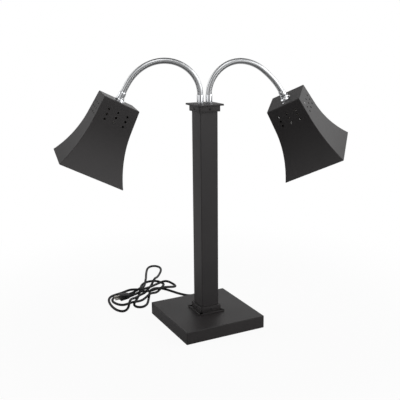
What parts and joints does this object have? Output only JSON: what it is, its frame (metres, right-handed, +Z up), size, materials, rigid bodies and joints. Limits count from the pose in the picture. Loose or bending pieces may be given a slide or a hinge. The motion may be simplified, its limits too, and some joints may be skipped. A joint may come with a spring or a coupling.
{
  "type": "food heat lamp",
  "caption": "Counter-top food heat lamp with square flared shades on bending necks, carried by a square post on a weighted square base.",
  "frame": {"origin": "middle of the base on the surface that it stands on", "axes": "+Z up the post, +X along the line of the two necks to the right head, -Y towards the front"},
  "size_m": [0.8341, 0.6807, 0.7449],
  "materials": {
    "black_paint": "satin black powder coat",
    "shade_paint": "satin black powder coat",
    "post_paint": "satin black powder coat",
    "zinc_sheet": "zinc-plated sheet",
    "zinc_screw": "zinc-plated",
    "bright_screw": "bright plated",
    "dark_screw": "black oxide",
    "raw_steel": "dull grey",
    "chrome": "polished",
    "neck_chrome": "polished, fine ribs",
    "nickel": "nickel-plated",
    "brass": "satin",
    "porcelain": "glazed",
    "bulb_glass": "frosted reflector glass",
    "filament": "bare wire on a glass stem",
    "switch_plastic": "fine matt",
    "rocker_plastic": "gloss",
    "terminal_plastic": "matt",
    "lead_sheath": "matt",
    "gland_rubber": "matt",
    "black_rubber": "matt",
    "cord_sheath": "soft satin",
    "plug_plastic": "moulded, satin"
  },
  "bodies": {
    "stand": {"base_shell": "black_paint", "bottom_plate": "zinc_sheet", "bottom_screws": "zinc_screw", "rubber_mat": "black_rubber", "ballast_plate": "raw_steel", "ballast_screws": "zinc_screw", "post": "post_paint", "foot_collar": "black_paint", "foot_flange_screws": "zinc_screw", "foot_collar_screws": "dark_screw", "top_cap": "black_paint", "top_cap_screws": "dark_screw", "neck_lock_nuts": "nickel", "switch_housing": "switch_plastic", "terminal_block": "terminal_plastic", "inner_leads": "lead_sheath", "cord_gland": "gland_rubber", "power_cord": "cord_sheath", "plug_body": "plug_plastic", "plug_pins": "nickel", "left_lower_ferrule": "chrome", "right_lower_ferrule": "chrome"},
    "left_length_1": {"left_neck_1": "neck_chrome"},
    "left_length_2": {"left_neck_2": "neck_chrome"},
    "left_length_3": {"left_neck_3": "neck_chrome"},
    "left_length_4": {"left_neck_4": "neck_chrome"},
    "left_length_5": {"left_neck_5": "neck_chrome"},
    "left_length_6": {"left_neck_6": "neck_chrome", "left_upper_ferrule": "chrome", "left_head_lock_nut": "nickel"},
    "left_head": {"left_head_collar": "chrome", "left_shade": "shade_paint", "left_shade_screws": "bright_screw", "left_holder_bracket": "zinc_sheet", "left_lamp_holder": "porcelain", "left_holder_shell": "brass", "left_centre_contact": "brass", "left_bulb_glass": "bulb_glass", "left_bulb_cap": "nickel", "left_filament": "filament"},
    "right_length_1": {"right_neck_1": "neck_chrome"},
    "right_length_2": {"right_neck_2": "neck_chrome"},
    "right_length_3": {"right_neck_3": "neck_chrome"},
    "right_length_4": {"right_neck_4": "neck_chrome"},
    "right_length_5": {"right_neck_5": "neck_chrome"},
    "right_length_6": {"right_neck_6": "neck_chrome", "right_upper_ferrule": "chrome", "right_head_lock_nut": "nickel"},
    "right_head": {"right_head_collar": "chrome", "right_shade": "shade_paint", "right_shade_screws": "bright_screw", "right_holder_bracket": "zinc_sheet", "right_lamp_holder": "porcelain", "right_holder_shell": "brass", "right_centre_contact": "brass", "right_bulb_glass": "bulb_glass", "right_bulb_cap": "nickel", "right_filament": "filament"},
    "rocker": {"switch_rocker": "rocker_plastic"}
  },
  "joints": [
    {"name": "left_swing", "type": "hinge", "parent": "stand", "child": "left_length_1", "pos_m": [-0.013, 0, 0.648], "axis": [0, 0, 1], "range_deg": [-40, 40]},
    {"name": "left_bend_1", "type": "hinge", "parent": "left_length_1", "child": "left_length_2", "pos_m": [-0.01748, 0.0014, 0.67608], "axis": [-0.299, -0.9542, 0], "range_deg": [-12, 5]},
    {"name": "left_bend_2", "type": "hinge", "parent": "left_length_2", "child": "left_length_3", "pos_m": [-0.05014, 0.01164, 0.72067], "axis": [-0.299, -0.9542, 0], "range_deg": [-12, 5]},
    {"name": "left_bend_3", "type": "hinge", "parent": "left_length_3", "child": "left_length_4", "pos_m": [-0.10148, 0.02773, 0.73764], "axis": [-0.299, -0.9542, 0], "range_deg": [-12, 5]},
    {"name": "left_bend_4", "type": "hinge", "parent": "left_length_4", "child": "left_length_5", "pos_m": [-0.15368, 0.04409, 0.72349], "axis": [-0.299, -0.9542, 0], "range_deg": [-12, 5]},
    {"name": "left_bend_5", "type": "hinge", "parent": "left_length_5", "child": "left_length_6", "pos_m": [-0.19273, 0.05632, 0.68431], "axis": [-0.299, -0.9542, 0], "range_deg": [-12, 5]},
    {"name": "left_head_turn", "type": "hinge", "parent": "left_length_6", "child": "left_head", "pos_m": [-0.21753, 0.0641, 0.63633], "axis": [0.4332, -0.1358, 0.891], "range_deg": [-90, 90]},
    {"name": "right_swing", "type": "hinge", "parent": "stand", "child": "right_length_1", "pos_m": [0.013, 0, 0.648], "axis": [0, 0, 1], "range_deg": [-40, 40]},
    {"name": "right_bend_1", "type": "hinge", "parent": "right_length_1", "child": "right_length_2", "pos_m": [0.01821, -0.00098, 0.67593], "axis": [0.1857, 0.9826, 0], "range_deg": [-12, 5]},
    {"name": "right_bend_2", "type": "hinge", "parent": "right_length_2", "child": "right_length_3", "pos_m": [0.05338, -0.00763, 0.71935], "axis": [0.1857, 0.9826, 0], "range_deg": [-12, 5]},
    {"name": "right_bend_3", "type": "hinge", "parent": "right_length_3", "child": "right_length_4", "pos_m": [0.10706, -0.01777, 0.73221], "axis": [0.1857, 0.9826, 0], "range_deg": [-12, 5]},
    {"name": "right_bend_4", "type": "hinge", "parent": "right_length_4", "child": "right_length_5", "pos_m": [0.15894, -0.02757, 0.71195], "axis": [0.1857, 0.9826, 0], "range_deg": [-12, 5]},
    {"name": "right_bend_5", "type": "hinge", "parent": "right_length_5", "child": "right_length_6", "pos_m": [0.19994, -0.03532, 0.67303], "axis": [0.1857, 0.9826, 0], "range_deg": [-12, 5]},
    {"name": "right_head_turn", "type": "hinge", "parent": "right_length_6", "child": "right_head", "pos_m": [0.2294, -0.04089, 0.62749], "axis": [-0.5061, 0.0956, 0.8572], "range_deg": [-90, 90]},
    {"name": "switch_rock", "type": "hinge", "parent": "stand", "child": "rocker", "pos_m": [-0.06, 0.12, 0.01975], "axis": [0, 0, 1], "range_deg": [0, 16]}
  ]
}
